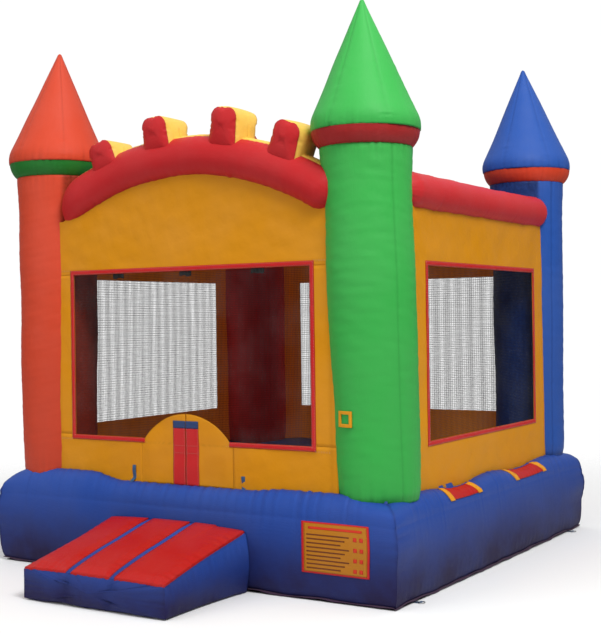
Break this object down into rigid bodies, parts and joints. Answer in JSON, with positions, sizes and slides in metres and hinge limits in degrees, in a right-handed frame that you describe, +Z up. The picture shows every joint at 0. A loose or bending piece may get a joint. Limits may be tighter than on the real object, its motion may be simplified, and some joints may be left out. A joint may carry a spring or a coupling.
{
  "type": "inflatable bounce house",
  "caption": "Castle-shaped inflatable bounce house with corner towers, mesh windows, slit door and entry step.",
  "frame": {"origin": "centre of the square base, on the ground", "axes": "+X along the front from the left tower to the right one, +Y to the rear, +Z up"},
  "size_m": [4.087, 5.487, 4.53],
  "materials": {
    "blue_vinyl": "PVC-coated polyester, satin sheen",
    "orange_vinyl": "PVC-coated polyester, satin sheen",
    "green_vinyl": "PVC-coated polyester, satin sheen",
    "green_band_vinyl": "PVC-coated polyester, satin sheen",
    "red_vinyl": "PVC-coated polyester, satin sheen",
    "yellow_vinyl": "PVC-coated polyester, satin sheen",
    "black_vinyl": "PVC-coated polyester, worn matt",
    "black_mesh": "knotless nylon mesh",
    "red_tape": "sewn vinyl binding",
    "webbing": "woven polyester webbing",
    "zip_plastic": "moulded coil on woven tape",
    "zinc": "zinc-plated steel"
  },
  "bodies": {
    "house": {"air_inlet_sleeve": "blue_vinyl", "anchor_tabs": "webbing", "base_front": "blue_vinyl", "base_left": "blue_vinyl", "base_rear": "blue_vinyl", "base_right": "blue_vinyl", "beam_left": "red_vinyl", "beam_rear": "red_vinyl", "beam_right": "red_vinyl", "bounce_floor": "blue_vinyl", "collar_front_left": "green_band_vinyl", "collar_front_right": "red_vinyl", "collar_rear_left": "yellow_vinyl", "collar_rear_right": "orange_vinyl", "column_front_left": "orange_vinyl", "column_front_right": "green_vinyl", "column_rear_left": "red_vinyl", "column_rear_right": "blue_vinyl", "floor_baffles": "blue_vinyl", "front_arch": "red_vinyl", "front_gable": "yellow_vinyl", "front_sill_left": "yellow_vinyl", "front_sill_right": "yellow_vinyl", "front_stile_left": "yellow_vinyl", "front_stile_right": "yellow_vinyl", "ground_sheet": "black_vinyl", "merlon_1": "red_vinyl", "merlon_2": "red_vinyl", "merlon_3": "red_vinyl", "merlon_4": "red_vinyl", "net_front": "black_mesh", "net_left": "black_mesh", "net_rear": "black_mesh", "net_right": "black_mesh", "roof_sheet": "blue_vinyl", "spire_front_left": "orange_vinyl", "spire_front_right": "green_vinyl", "spire_rear_left": "red_vinyl", "spire_rear_right": "blue_vinyl", "step_body": "blue_vinyl", "step_tread_left": "red_vinyl", "step_tread_middle": "red_vinyl", "step_tread_right": "red_vinyl", "trim_front": "red_tape", "trim_left": "red_tape", "trim_rear": "red_tape", "trim_right": "red_tape", "wall_left": "yellow_vinyl", "wall_rear": "yellow_vinyl", "wall_right": "yellow_vinyl", "zip_tape": "zip_plastic"},
    "door_left": {"door_leaf_left": "yellow_vinyl", "door_band_left": "red_tape"},
    "door_right": {"door_leaf_right": "yellow_vinyl", "door_band_right": "red_tape"},
    "zip_slider": {"zip_slider": "zinc"},
    "ring_front_left": {"anchor_ring_front_left": "zinc"},
    "ring_front_right": {"anchor_ring_front_right": "zinc"},
    "ring_rear_right": {"anchor_ring_rear_right": "zinc"},
    "ring_rear_left": {"anchor_ring_rear_left": "zinc"}
  },
  "joints": [
    {"name": "door_left_swing", "type": "hinge", "parent": "house", "child": "door_left", "pos_m": [-0.457, -1.83735, 0.803], "axis": [0, 0, -1], "range_deg": [0, 120]},
    {"name": "door_right_swing", "type": "hinge", "parent": "house", "child": "door_right", "pos_m": [0.457, -1.83735, 0.803], "axis": [0, 0, 1], "range_deg": [0, 120]},
    {"name": "zip_slide", "type": "slide", "parent": "house", "child": "zip_slider", "axis": [-1, 0, 0], "range_m": [0, 0.85]},
    {"name": "ring_front_left_flip", "type": "hinge", "parent": "house", "child": "ring_front_left", "pos_m": [-2.01, -1.65, 0.0059], "axis": [0, 1, 0], "range_deg": [0, 150]},
    {"name": "ring_front_right_flip", "type": "hinge", "parent": "house", "child": "ring_front_right", "pos_m": [2.01, -1.65, 0.0059], "axis": [0, -1, 0], "range_deg": [0, 150]},
    {"name": "ring_rear_right_flip", "type": "hinge", "parent": "house", "child": "ring_rear_right", "pos_m": [2.01, 1.65, 0.0059], "axis": [0, -1, 0], "range_deg": [0, 150]},
    {"name": "ring_rear_left_flip", "type": "hinge", "parent": "house", "child": "ring_rear_left", "pos_m": [-2.01, 1.65, 0.0059], "axis": [0, 1, 0], "range_deg": [0, 150]}
  ]
}
